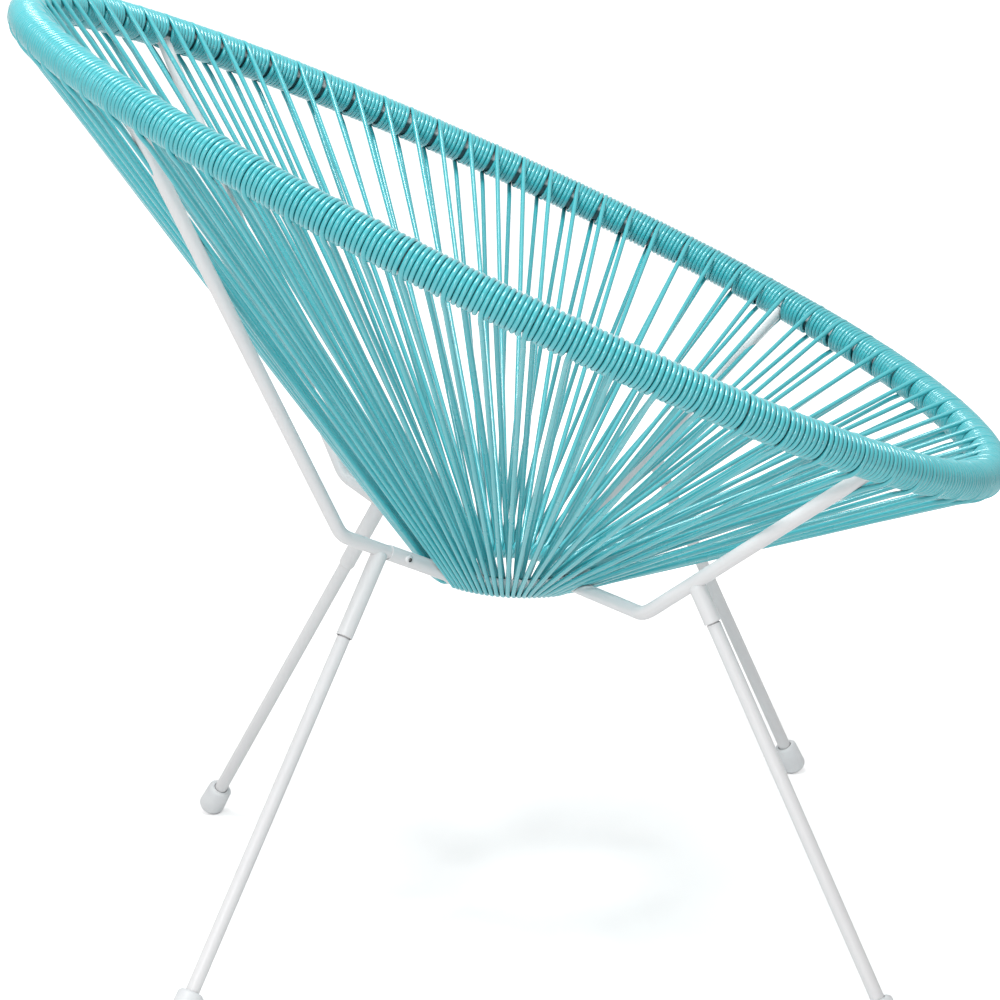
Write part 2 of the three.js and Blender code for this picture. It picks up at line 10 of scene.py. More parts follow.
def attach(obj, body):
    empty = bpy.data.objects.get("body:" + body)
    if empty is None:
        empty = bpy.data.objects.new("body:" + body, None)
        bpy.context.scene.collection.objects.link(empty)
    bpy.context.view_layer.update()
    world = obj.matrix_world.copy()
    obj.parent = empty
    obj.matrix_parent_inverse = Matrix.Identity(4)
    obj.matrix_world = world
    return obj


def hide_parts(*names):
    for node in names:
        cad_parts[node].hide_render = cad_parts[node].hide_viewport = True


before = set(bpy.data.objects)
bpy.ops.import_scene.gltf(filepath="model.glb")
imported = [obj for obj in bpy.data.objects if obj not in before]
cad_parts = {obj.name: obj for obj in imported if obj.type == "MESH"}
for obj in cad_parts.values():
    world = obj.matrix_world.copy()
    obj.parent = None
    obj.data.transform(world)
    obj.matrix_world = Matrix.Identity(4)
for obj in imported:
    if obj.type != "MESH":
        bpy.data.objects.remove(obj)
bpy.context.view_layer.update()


# Studio
# The chair stands on a white floor under a white sky. A broad lamp hangs over it, two weaker ones
# stand beside the camera, and the rest of the light comes from all round, as in a light tent. The
# camera looks at the chair's left side, from a little above the rim.

camera = bpy.data.objects.new("camera", bpy.data.cameras.new("camera"))
camera.location = (-2.6739, 0.0938, 1.0437)
camera_aim = Vector((0, 0.0169, 0.3556))
camera_look = (camera_aim - camera.location).to_track_quat("-Z", "Y")
camera_roll = Matrix.Rotation(math.radians(-1.364), 3, "Z").to_quaternion()
camera.rotation_mode = "QUATERNION"
camera.rotation_quaternion = camera_look @ camera_roll
camera.data.sensor_width = 36
camera.data.lens = 119.42
camera.data.clip_end = 50
bpy.context.scene.collection.objects.link(camera)
bpy.context.scene.camera = camera
bpy.context.scene.view_settings.view_transform = "Standard"


def new_material(name):
    material = bpy.data.materials.new(name)
    material.use_nodes = True
    material.node_tree.nodes.clear()
    return material, material.node_tree


def joined(tree, kind, inputs=None, **settings):
    """A node of that kind, with its settings and its inputs set or linked"""
    node = tree.nodes.new(kind)
    for name, value in settings.items():
        setattr(node, name, value)
    for name, value in (inputs or {}).items():
        if isinstance(value, bpy.types.NodeSocket):
            tree.links.new(value, node.inputs[name])
        else:
            node.inputs[name].default_value = value
    return node


def soft_lamp(name, place, aim, size, power):
    lamp = bpy.data.lights.new(name, "AREA")
    lamp.shape = "RECTANGLE"
    lamp.size, lamp.size_y = size
    lamp.energy = power
    stand = bpy.data.objects.new(name, lamp)
    stand.location = place
    stand.rotation_mode = "QUATERNION"
    stand.rotation_quaternion = (Vector(aim) - Vector(place)).to_track_quat("-Z", "Y")
    bpy.context.scene.collection.objects.link(stand)


soft_lamp("overhead_lamp", place=(-0.35, 0.3, 2.5), aim=(0, 0, 0.6), size=(0.8, 0.8), power=37)
soft_lamp("camera_side_lamp", place=(-2.4, 1.1, 1.8), aim=(0, 0, 0.5), size=(0.8, 0.8), power=20)
soft_lamp("low_fill_lamp", place=(-2.3, 0.4, 0.35), aim=(0, 0, 0.3), size=(1.0, 0.5), power=6)


def seen_rays(tree):
    """1 for the rays that show the background: to the camera, in gloss and through clear stuff"""
    path = joined(tree, "ShaderNodeLightPath")
    seen = path.outputs["Is Camera Ray"]
    for kind in ("Is Glossy Ray", "Is Transmission Ray"):
        either = joined(tree, "ShaderNodeMath", {0: seen, 1: path.outputs[kind]}, operation="MAXIMUM")
        seen = either.outputs[0]
    return seen


WHITE = (1, 1, 1, 1)
TENT_LIGHT = 0.43

world = bpy.data.worlds.new("white_tent")
bpy.context.scene.world = world
world.use_nodes = True
sky = world.node_tree
sky.nodes.clear()
tent_light = joined(sky, "ShaderNodeBackground", {"Color": WHITE, "Strength": TENT_LIGHT})
tent_seen = joined(sky, "ShaderNodeBackground", {"Color": WHITE, "Strength": 1})
tent = joined(
    sky, "ShaderNodeMixShader", {0: seen_rays(sky), 1: tent_light.outputs[0], 2: tent_seen.outputs[0]}
)
joined(sky, "ShaderNodeOutputWorld", {"Surface": tent.outputs[0]})

# The floor glows a little, and more away from the chair. It is white as far as the eye can see and
# still keeps the chair's shadow.
FLOOR_HALF = 30.0
FLOOR_PALE = (0.8, 0.8, 0.8, 1)
GLOW_REACH = 1.6
GLOW_UNDER = 0.46
GLOW_AWAY = 0.8

floor_mesh = bpy.data.meshes.new("floor")
floor_corners = [(x * FLOOR_HALF, y * FLOOR_HALF, 0) for x, y in ((-1, -1), (1, -1), (1, 1), (-1, 1))]
floor_mesh.from_pydata(floor_corners, [], [(0, 1, 2, 3)])
floor = bpy.data.objects.new("floor", floor_mesh)
bpy.context.scene.collection.objects.link(floor)
floor_paper, tree = new_material("floor_paper")
paper = joined(tree, "ShaderNodeBsdfDiffuse", {"Color": FLOOR_PALE})
place = joined(tree, "ShaderNodeTexCoord")
distance = joined(tree, "ShaderNodeVectorMath", {0: place.outputs["Object"]}, operation="LENGTH")
lift = joined(
    tree,
    "ShaderNodeMapRange",
    {
        "Value": distance.outputs["Value"],
        "From Max": GLOW_REACH,
        "To Min": GLOW_UNDER,
        "To Max": GLOW_AWAY,
    },
    interpolation_type="SMOOTHSTEP",
)
glow = joined(tree, "ShaderNodeEmission", {"Color": WHITE, "Strength": lift.outputs["Result"]})
lit = joined(tree, "ShaderNodeAddShader", {0: paper.outputs[0], 1: glow.outputs[0]})
seen = joined(tree, "ShaderNodeMixShader", {0: seen_rays(tree), 1: paper.outputs[0], 2: lit.outputs[0]})
joined(tree, "ShaderNodeOutputMaterial", {"Surface": seen.outputs[0]})
floor_mesh.materials.append(floor_paper)


# Rim
# The outer hoop is one steel tube bent to an egg, in a plane that leans back, welded shut and
# powder-coated white. Only short pieces of it show, in the gaps of the winding.

RIM_TUBE = 0.022
RIM_HALF_LENGTH = 0.4284
RIM_HALF_WIDTH = 0.3707
EGG_WIDTH = 0.084 * RIM_HALF_WIDTH
EGG_LENGTH = 0.144 * RIM_HALF_LENGTH
RIM_LEAN = math.radians(26.4)
RIM_MIDDLE = np.array((0, 0, 0.5814))
RIM_FORWARD = np.array((0, math.cos(RIM_LEAN), math.sin(RIM_LEAN)))
RIM_NORMAL = np.array((0, -math.sin(RIM_LEAN), math.cos(RIM_LEAN)))
RIM_STEPS = 4000
RIM_RINGS = 360
RIM_SIDES = 32
TURN = 2 * math.pi
# A direction that no tube follows, to start a cross-section from
SKEW = (0.31, 0.17, 0.93)


def unit(vectors):
    return vectors / np.linalg.norm(vectors, axis=-1, keepdims=True)


def rim_at_angle(angle):
    angle = np.asarray(angle, float)[..., None]
    side = RIM_HALF_WIDTH * np.sin(angle) - EGG_WIDTH * np.sin(2 * angle)
    back = EGG_LENGTH * (np.cos(2 * angle) - 1) - RIM_HALF_LENGTH * np.cos(angle)
    return RIM_MIDDLE + side * np.array((1, 0, 0)) + back * RIM_FORWARD


# Three times round, so that a distance may run past the front on either side
rim_angles = np.linspace(-TURN, 2 * TURN, 3 * RIM_STEPS + 1)
rim_steps = np.linalg.norm(np.diff(rim_at_angle(rim_angles), axis=0), axis=1)
rim_lengths = np.concatenate(([0], np.cumsum(rim_steps)))
RIM_LENGTH = rim_lengths[-1] / 3
rim_lengths -= RIM_LENGTH


def rim_station(distance):
    """Centre, heading and outward direction of the rim at a distance along it from the front"""
    angle = np.interp(distance, rim_lengths, rim_angles)
    nudge = 1e-4
    heading = unit(rim_at_angle(angle + nudge) - rim_at_angle(angle - nudge))
    return rim_at_angle(angle), heading, np.cross(heading, RIM_NORMAL)


def make_mesh(name, vertices, faces, material, nodes):
    """A smooth piece of the chair, which stands for the named CAD nodes"""
    mesh = bpy.data.meshes.new(name)
    mesh.from_pydata(np.asarray(vertices).reshape(-1, 3).tolist(), [], faces)
    mesh.validate()
    mesh.shade_smooth()
    mesh.materials.append(material)
    piece = bpy.data.objects.new(name, mesh)
    bpy.context.scene.collection.objects.link(piece)
    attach(piece, "root")
    if nodes:
        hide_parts(*nodes)
    return piece


def grid_faces(rows, columns, goes_round=False):
    """Quads between rows of points, each row closed on itself"""
    last = rows if goes_round else rows - 1
    row, column = np.meshgrid(np.arange(last), np.arange(columns), indexing="ij")
    here, there = row * columns, ((row + 1) % rows) * columns
    beside = (column + 1) % columns
    quads = np.stack((here + column, here + beside, there + beside, there + column), axis=-1)
    return quads.reshape(-1, 4).tolist()


def tube_rings(route, radius, sides, goes_round):
    """Rings of points round a route, with no twist between them. On a closed route, what is left of
    a twist is spread over all of them."""
    route = np.asarray(route, float)
    ahead = unit(np.roll(route, -1, axis=0) - route)
    if not goes_round:
        ahead[-1] = ahead[-2]
    behind = np.roll(ahead, 1, axis=0)
    if not goes_round:
        behind[0] = ahead[0]
    heading = unit(ahead + behind)
    across = np.empty_like(route)
    side = np.cross(heading[0], SKEW)
    for index, along in enumerate(heading):
        side = side - along * side.dot(along)
        side = side / math.sqrt(side.dot(side))
        across[index] = side
    upward = np.cross(heading, across)
    turned = np.zeros(len(route))
    if goes_round:
        slip = math.atan2(side.dot(upward[0]), side.dot(across[0]))
        turned = -slip * np.arange(len(route)) / len(route)
    angle = turned[:, None] + np.arange(sides) / sides * TURN
    spokes = np.cos(angle)[..., None] * across[:, None] + np.sin(angle)[..., None] * upward[:, None]
    reach = np.broadcast_to(np.asarray(radius, float), (len(route),))
    return route[:, None] + reach[:, None, None] * spokes


def tube(name, route, radius, sides, material, nodes=(), goes_round=False):
    """A tube along a route. Its flat ends have points of their own, so that the smooth side keeps a
    sharp edge there."""
    rings = tube_rings(route, radius, sides, goes_round)
    vertices = rings.reshape(-1, 3)
    faces = grid_faces(len(rings), sides, goes_round)
    if not goes_round:
        near_end = len(vertices)
        far_end = near_end + sides
        vertices = np.concatenate((vertices, rings[0], rings[-1]))
        faces.append([near_end + sides - 1 - side for side in range(sides)])
        faces.append([far_end + side for side in range(sides)])
    return make_mesh(name, vertices, faces, material, nodes)


def surface_group(name, output, kind):
    """A shader group that takes a scale and a strength and puts out one thing, still empty"""
    group = bpy.data.node_groups.new(name, "ShaderNodeTree")
    for label in ("Scale", "Strength"):
        group.interface.new_socket(label, in_out="INPUT", socket_type="NodeSocketFloat")
    group.interface.new_socket(output, in_out="OUTPUT", socket_type=kind)
    return group, group.nodes.new("NodeGroupInput"), group.nodes.new("NodeGroupOutput")


# The fine unevenness of baked powder and of moulded or extruded plastic
orange_peel, given, made = surface_group("orange_peel", "Normal", "NodeSocketVector")
place = joined(orange_peel, "ShaderNodeTexCoord")
ripple = joined(
    orange_peel,
    "ShaderNodeTexNoise",
    {"Vector": place.outputs["Object"], "Scale": given.outputs["Scale"], "Detail": 2.0},
)
bump = joined(
    orange_peel,
    "ShaderNodeBump",
    {"Height": ripple.outputs["Fac"], "Strength": given.outputs["Strength"], "Distance": 0.0004},
)
orange_peel.links.new(bump.outputs["Normal"], made.inputs["Normal"])

# Soft patches, from 0 to the strength
mottle, given, made = surface_group("mottle", "Mask", "NodeSocketFloat")
place = joined(mottle, "ShaderNodeTexCoord")
cloud = joined(
    mottle,
    "ShaderNodeTexNoise",
    {"Vector": place.outputs["Object"], "Scale": given.outputs["Scale"], "Detail": 3.0},
)
spread = joined(
    mottle,
    "ShaderNodeMapRange",
    {
        "Value": cloud.outputs["Fac"],
        "From Min": 0.35,
        "From Max": 0.65,
        "To Max": given.outputs["Strength"],
    },
)
mottle.links.new(spread.outputs["Result"], made.inputs["Mask"])

# Painted shade: 1 in a crevice of a few millimetres, where light hardly reaches, 0 in the open
crevice_shade = bpy.data.node_groups.new("crevice_shade", "ShaderNodeTree")
crevice_shade.interface.new_socket("Mask", in_out="OUTPUT", socket_type="NodeSocketFloat")
shut_in = joined(crevice_shade, "ShaderNodeAmbientOcclusion", {"Distance": 0.004}, samples=6)
deep = joined(
    crevice_shade,
    "ShaderNodeMapRange",
    {"Value": shut_in.outputs["AO"], "From Min": 0.08, "From Max": 0.55, "To Min": 1.0, "To Max": 0.0},
)
made = crevice_shade.nodes.new("NodeGroupOutput")
crevice_shade.links.new(deep.outputs["Result"], made.inputs["Mask"])


def mixed(tree, share, first, second):
    """The colour between two, by a share from 0 to 1"""
    mix = joined(tree, "ShaderNodeMix", {0: share, 6: first, 7: second}, data_type="RGBA")
    return mix.outputs[2]


def coated(name, plain, shaded, crevice_shade_colour, rough, peel, clouds):
    """A finish of two near colours in soft patches, with painted shade in crevices and a fine uneven
    surface. The peel and the clouds are a scale and a strength each, rough is a least and a most."""
    material, tree = new_material(name)
    patches = joined(tree, "ShaderNodeGroup", node_tree=mottle)
    patches.inputs["Scale"].default_value, patches.inputs["Strength"].default_value = clouds
    skin = joined(tree, "ShaderNodeGroup", node_tree=orange_peel)
    skin.inputs["Scale"].default_value, skin.inputs["Strength"].default_value = peel
    shade_in_crevices = joined(tree, "ShaderNodeGroup", node_tree=crevice_shade)
    colour = mixed(tree, patches.outputs["Mask"], (*plain, 1), (*shaded, 1))
    least, most = rough
    gloss = joined(
        tree,
        "ShaderNodeMapRange",
        {"Value": patches.outputs["Mask"], "To Min": least, "To Max": most},
    )
    shader = joined(
        tree,
        "ShaderNodeBsdfPrincipled",
        {
            # Painted shade: the colour turns to the crevice colour in crevices
            "Base Color": mixed(tree, shade_in_crevices.outputs["Mask"], colour, (*crevice_shade_colour, 1)),
            "Roughness": gloss.outputs["Result"],
            "Normal": skin.outputs["Normal"],
        },
    )
    joined(tree, "ShaderNodeOutputMaterial", {"Surface": shader.outputs[0]})
    return material, shader


# The frame's paint. Its colour in crevices is painted shade.
powder_coat, _ = coated(
    "powder_coat",
    plain=(0.79, 0.785, 0.79),
    shaded=(0.74, 0.735, 0.745),
    crevice_shade_colour=(0.2, 0.2, 0.2),
    rough=(0.3, 0.42),
    peel=(900, 0.25),
    clouds=(9, 0.5),
)
# The rim's paint, with painted shade in its crevices and on its lower side
rim_coat_shaded_below, rim_coat_shader = coated(
    "rim_coat_shaded_below",
    plain=(0.8, 0.78, 0.78),
    shaded=(0.7, 0.68, 0.68),
    crevice_shade_colour=(0.2, 0.2, 0.2),
    rough=(0.4, 0.55),
    peel=(900, 0.25),
    clouds=(60, 0.8),
)

# Painted shade: the rim's paint turns dark teal where it faces down, for the shade under the winding
UNDERSIDE_SHADE = (0.02, 0.08, 0.095, 1)
rim_coat_tree = rim_coat_shaded_below.node_tree
facing = joined(rim_coat_tree, "ShaderNodeNewGeometry")
upward = joined(rim_coat_tree, "ShaderNodeSeparateXYZ", {0: facing.outputs["Normal"]})
underside_share = joined(
    rim_coat_tree,
    "ShaderNodeMapRange",
    {"Value": upward.outputs["Z"], "From Min": 0, "From Max": 0.18, "To Min": 1, "To Max": 0},
)
paint_above = rim_coat_shader.inputs["Base Color"].links[0].from_socket
underside_shaded = mixed(rim_coat_tree, underside_share.outputs["Result"], paint_above, UNDERSIDE_SHADE)
rim_coat_tree.links.new(underside_shaded, rim_coat_shader.inputs["Base Color"])

rim_places = np.linspace(0, RIM_LENGTH, RIM_RINGS, endpoint=False)
rim_centres, _, _ = rim_station(rim_places)
tube(
    "rim",
    rim_centres,
    RIM_TUBE / 2,
    RIM_SIDES,
    rim_coat_shaded_below,
    ["rim_tube"],
    goes_round=True,
)


# Seat ring
# A small closed ring of thinner steel tube, low in the middle and tipped up a little in front. It
# gathers every strand of the cord, and the arms and the stubs are welded to its outer side.

FRAME_TUBE = 0.0114
FRAME_SIDES = 28
RING_RADIUS = 0.0619
RING_LEAN = math.radians(4.9)
RING_MIDDLE = np.array((0, 0.0098, 0.2981))
RING_FORWARD = np.array((0, math.cos(RING_LEAN), math.sin(RING_LEAN)))
RING_RINGS = 120


def ring_outward(angle):
    """Away from the ring's middle, at an angle from the front"""
    angle = np.asarray(angle, float)[..., None]
    return np.sin(angle) * np.array((1, 0, 0)) - np.cos(angle) * RING_FORWARD


def ring_along(angle):
    """The ring's own heading there"""
    angle = np.asarray(angle, float)[..., None]
    return np.cos(angle) * np.array((1, 0, 0)) + np.sin(angle) * RING_FORWARD


def ring_point(angle):
    return RING_MIDDLE + RING_RADIUS * ring_outward(angle)


# The same paint as on the arms, painted lighter, and far paler in its crevices: painted light
# that offsets the shade the cords cast on the ring
ring_coat_lightened, _ = coated(
    "ring_coat_lightened",
    plain=(0.82, 0.82, 0.82),
    shaded=(0.78, 0.78, 0.78),
    crevice_shade_colour=(0.6, 0.62, 0.62),
    rough=(0.3, 0.42),
    peel=(900, 0.25),
    clouds=(9, 0.5),
)
ring_centres = ring_point(np.linspace(0, TURN, RING_RINGS, endpoint=False))
tube(
    "ring",
    ring_centres,
    FRAME_TUBE / 2,
    FRAME_SIDES,
    ring_coat_lightened,
    ["seat_ring"],
    goes_round=True,
)


# Welds
# Where two tubes of the frame meet, a bead of weld runs round the joint. It was laid by hand, so
# it swells and thins a little, and the powder coat covers it together with the tubes.

WELD = 0.0013
WELD_POINTS = 72
WELD_SIDES = 10
# Height of a ripple, as a share of the bead, how many go round the joint, and where they start
WELD_RIPPLES = ((0.16, 11, 0), (0.1, 17, 1))


def saddle_weld(name, centre, main, main_radius, branch, branch_radius):
    """A rippled bead where a branch tube leaves a main tube. Main and branch are directions."""
    across = unit(np.cross(branch, main))
    along = np.cross(across, branch)
    angle = np.arange(WELD_POINTS) / WELD_POINTS * TURN
    spokes = branch_radius * (np.cos(angle)[:, None] * across + np.sin(angle)[:, None] * along)
    flat = spokes - (spokes @ main)[:, None] * main
    slant = branch - branch.dot(main) * main
    square = slant.dot(slant)
    middle = flat @ slant
    depth = np.maximum(middle**2 - square * ((flat * flat).sum(axis=1) - main_radius**2), 0)
    reach = (-middle + np.sqrt(depth)) / square
    route = centre + spokes + reach[:, None] * branch
    swell = np.ones(WELD_POINTS)
    for height, count, late in WELD_RIPPLES:
        swell += height * np.sin(count * angle + late)
    tube(name, route, WELD * swell, WELD_SIDES, powder_coat, goes_round=True)


# Arms
# Four tubes carry the rim, each with one bend. The front two are welded to the ring and to the
# rim. The rear two are welded to the rim, and plug into stubs on the ring.

# The angles at which an arm meets the ring and the rim, in degrees from the front, and the corner
# of its bend
FRONT_ARM = {"ring": 42.4, "rim": 64.0, "bend": (0.1921, -0.0877, 0.3091)}
REAR_ARM = {"ring": 143.7, "rim": 148.4, "bend": (0.1008, 0.1478, 0.3561)}
BEND_RADIUS = 0.024
BEND_POINTS = 25
HANDS = {"right": 1, "left": -1}
STUB_TUBE = 0.013
STUB_LENGTH = 0.071
SHOULDER = 0.0001


def arm_points(arm, side):
    """Where an arm meets the ring, the corner of its bend, and where it meets the rim"""
    mirror = np.array((side, 1, 1))
    return (
        ring_point(math.radians(arm["ring"])) * mirror,
        np.array(arm["bend"]) * mirror,
        rim_at_angle(math.radians(arm["rim"])) * mirror,
    )


def arm_route(arm, side):
    """The middle of an arm's tube, straight on either side of its bend"""
    start, corner, end = arm_points(arm, side)
    into, out = unit(corner - start), unit(end - corner)
    angle = math.acos(into.dot(out))
    bend_start = corner - into * BEND_RADIUS * math.tan(angle / 2)
    inward = unit(out - into * into.dot(out))
    turned = np.linspace(0, angle, BEND_POINTS)[:, None]
    bend = bend_start + inward * BEND_RADIUS * (1 - np.cos(turned)) + into * BEND_RADIUS * np.sin(turned)
    return np.concatenate(([start], bend, [end]))


for hand, side in HANDS.items():
    for arm, end in ((FRONT_ARM, "front"), (REAR_ARM, "rear")):
        route = arm_route(arm, side)
        if end == "rear":
            route[0] += unit(route[1] - route[0]) * (STUB_LENGTH + SHOULDER)
        tube(
            f"{end}_arm_{hand}_paint",
            route,
            FRAME_TUBE / 2,
            FRAME_SIDES,
            powder_coat,
            [f"{end}_arm_{hand}"],
        )
        ring_centre, corner, rim_centre = arm_points(arm, side)
        ring_angle = math.radians(arm["ring"]) * side
        root_radius = FRAME_TUBE / 2 if end == "front" else STUB_TUBE / 2
        saddle_weld(
            f"{end}_ring_weld_{hand}",
            ring_centre,
            ring_along(ring_angle),
            FRAME_TUBE / 2,
            unit(corner - ring_centre),
            root_radius,
        )
        nudge = 1e-3
        heading = unit(rim_at_angle(side * math.radians(arm["rim"]) + nudge) - rim_centre)
        saddle_weld(
            f"{end}_rim_weld_{hand}",
            rim_centre,
            heading,
            RIM_TUBE / 2,
            unit(corner - rim_centre),
            FRAME_TUBE / 2,
        )


# Rear stubs and their screws
# Each rear arm has a stub welded to the ring, a size wider than the arm. The arm's necked end sits
# in it, and one button-head screw holds the two. The screw's head is painted with the frame, and
# the six-sided recess for the key is bare steel, coloured far darker than steel as painted shade.

STUB_BORE = 0.0106
STUB_MOUTH = 0.004
BROKEN_EDGE = 0.0004
SCREW_PLACE = 0.053
SCREW_HEAD = 0.0076
SCREW_HEAD_HEIGHT = 0.0024
SCREW_SINK = 0.0003
SCREW_CROWN = 1.1
CROWN_POINTS = 8
SCREW_KEY = 0.0036
KEY_FLOOR = 0.1 * SCREW_HEAD_HEIGHT
KEY_MIDDLE = 0.05 * SCREW_HEAD_HEIGHT
LATHE_SIDES = 48
LATHE_TIP = 0.0001
CORNER_STEPS = 4
# Two roundings on one side each take a little less than half of it
SIDE_SHARE = 2.01


def lathe(name, base, axis, profile, material, nodes=(), facets=()):
    """A turned piece: its profile is a list of radii and heights along the axis. The rings of the
    profile that facets names by number are six-sided."""
    axis = unit(np.asarray(axis, float))
    across = unit(np.cross(axis, SKEW))
    along = np.cross(axis, across)
    angle = np.arange(LATHE_SIDES) / LATHE_SIDES * TURN
    spokes = np.cos(angle)[:, None] * across + np.sin(angle)[:, None] * along
    from_flat = (angle + math.pi / 6) % (math.pi / 3) - math.pi / 6
    rings = []
    for index, (radius, height) in enumerate(profile):
        reach = radius / np.cos(from_flat) if index in facets else np.full(LATHE_SIDES, radius)
        rings.append(base + axis * height + reach[:, None] * spokes)
    faces = grid_faces(len(rings), LATHE_SIDES)
    return make_mesh(name, np.concatenate(rings), faces, material, nodes)


def rounded(profile, radius):
    """The same profile with each inner corner rounded"""
    points = [np.array(point, float) for point in profile]
    out = [points[0]]
    for before, corner, after in zip(points, points[1:], points[2:]):
        shorter = min(np.linalg.norm(corner - before), np.linalg.norm(after - corner))
        reach = min(radius, shorter / SIDE_SHARE)
        start = corner + unit(before - corner) * reach
        end = corner + unit(after - corner) * reach
        for step in range(CORNER_STEPS + 1):
            share = step / CORNER_STEPS
            out.append((1 - share) ** 2 * start + 2 * share * (1 - share) * corner + share**2 * end)
    out.append(points[-1])
    return [tuple(point) for point in out]


# Metal for the key's recess, coloured near black: painted shade in the recess
key_recess_shade, key_recess_shade_shader = coated(
    "key_recess_shade",
    plain=(0.1, 0.1, 0.1),
    shaded=(0.05, 0.05, 0.052),
    crevice_shade_colour=(0.01, 0.01, 0.01),
    rough=(0.4, 0.6),
    peel=(2500, 0.2),
    clouds=(300, 0.7),
)
key_recess_shade_shader.inputs["Metallic"].default_value = 1

for hand, side in HANDS.items():
    root, corner, _ = arm_points(REAR_ARM, side)
    run = unit(corner - root)
    wide, bore = STUB_TUBE / 2, STUB_BORE / 2
    mouth = [(wide, 0), (wide, STUB_LENGTH), (bore, STUB_LENGTH), (bore, STUB_LENGTH - STUB_MOUTH)]
    lathe(
        f"stub_{hand}",
        root,
        run,
        rounded(mouth, BROKEN_EDGE),
        powder_coat,
        [f"rear_stub_{hand}"],
    )
    outward = unit(np.cross(run, (0, 0, 1))) * side
    seat = root + run * SCREW_PLACE + outward * (STUB_TUBE / 2 - SCREW_SINK)
    head, key = SCREW_HEAD / 2, SCREW_KEY / 2
    crown = [
        (head * math.cos(step), SCREW_HEAD_HEIGHT * math.sin(step))
        for step in np.linspace(0, SCREW_CROWN, CROWN_POINTS)
    ]
    top = crown[-1][1]
    shell = [(head, 0), *crown, (key, top)]
    lathe(
        f"screw_{hand}",
        seat,
        outward,
        shell,
        powder_coat,
        [f"rear_arm_screw_{hand}"],
        facets=[len(shell) - 1],
    )
    recess = [(key, top), (key, KEY_FLOOR), (LATHE_TIP, KEY_MIDDLE)]
    lathe(f"screw_key_{hand}", seat, outward, recess, key_recess_shade, facets=[0, 1])


# Sockets and legs
# Under each arm a short, wider tube is welded on, its top ground smooth round the arm. A straight
# leg, of the same tube as the arms, plugs into it with its necked end. A thin dark line shows
# where the two meet.

SOCKET_TUBE = 0.014
SOCKET_BORE = 0.012
SOCKET_DEPTH = 0.006
DOME = 0.0055
DOME_POINTS = 12
DOME_TIP = 0.02
LEG_TUBE = 0.0114
LEG_NECK = 0.0098
LEG_NECK_BELOW = 0.0007
LEG_STARTS_BELOW = 0.0012
LEG_EDGE = 0.0003
LEG_IN_CAP = 0.014
# Where the socket's axis meets the arm, from the bend in front and from the ring at the back, the
# length of the socket, and the foot of the leg on the floor
LEGS = {
    "front": {"arm": FRONT_ARM, "place": 0.0566, "socket": 0.034, "foot": (0.3133, -0.2679, 0)},
    "rear": {"arm": REAR_ARM, "place": 0.0784, "socket": 0.0777, "foot": (0.2556, 0.2884, 0)},
}


def leg_axis(end, side):
    """Top of a leg's axis, on the arm, its direction down, and where it reaches the floor"""
    leg = LEGS[end]
    root, corner, rim_end = arm_points(leg["arm"], side)
    start, finish = (corner, rim_end) if end == "front" else (root, corner)
    top = start + unit(finish - start) * leg["place"]
    ground = np.array(leg["foot"]) * (side, 1, 1)
    return top, unit(ground - top), ground


for hand, side in HANDS.items():
    for end, leg in LEGS.items():
        top, down, ground = leg_axis(end, side)
        wide, bore = SOCKET_TUBE / 2, SOCKET_BORE / 2
        mouth = leg["socket"]
        dome = [
            (wide * math.sin(step), DOME * (1 - math.cos(step)))
            for step in np.linspace(DOME_TIP, TURN / 4, DOME_POINTS)
        ]
        lip = [dome[-1], (wide, mouth), (bore, mouth), (bore, mouth - SOCKET_DEPTH)]
        lathe(
            f"{end}_socket_{hand}_paint",
            top,
            down,
            [*dome[:-1], *rounded(lip, BROKEN_EDGE)],
            powder_coat,
            [f"{end}_socket_{hand}"],
        )
        thick, neck = LEG_TUBE / 2, LEG_NECK / 2
        stem = [
            (neck, mouth - SOCKET_DEPTH),
            (neck, mouth + LEG_NECK_BELOW),
            (thick, mouth + LEG_STARTS_BELOW),
            (thick, np.linalg.norm(ground - top) - LEG_IN_CAP),
        ]
        lathe(
            f"{end}_leg_{hand}_paint",
            top,
            down,
            rounded(stem, LEG_EDGE),
            powder_coat,
            [f"{end}_leg_{hand}"],
        )


# Feet
# Moulded caps of pale plastic, pushed over the ends of the legs, a little wider at the floor. The
# lower edge is rounded, and worn flat where it stands.

FOOT_TOP = 0.0216
FOOT_BASE = 0.0236
FOOT_LENGTH = 0.029
FOOT_EDGE = 0.006
FOOT_EDGE_POINTS = 9
FOOT_CHAMFER = 0.0024
FOOT_SOFTNESS = 0.0006
FOOT_BORE = 0.0121
FOOT_MOUTH = 0.005
FOOT_WEAR = 0.0008

# The caps' plastic. Its colour in crevices is painted shade.
cap_plastic, _ = coated(
    "cap_plastic",
    plain=(0.8, 0.81, 0.82),
    shaded=(0.73, 0.74, 0.755),
    crevice_shade_colour=(0.25, 0.25, 0.26),
    rough=(0.36, 0.5),
    peel=(700, 0.2),
    clouds=(60, 0.6),
)

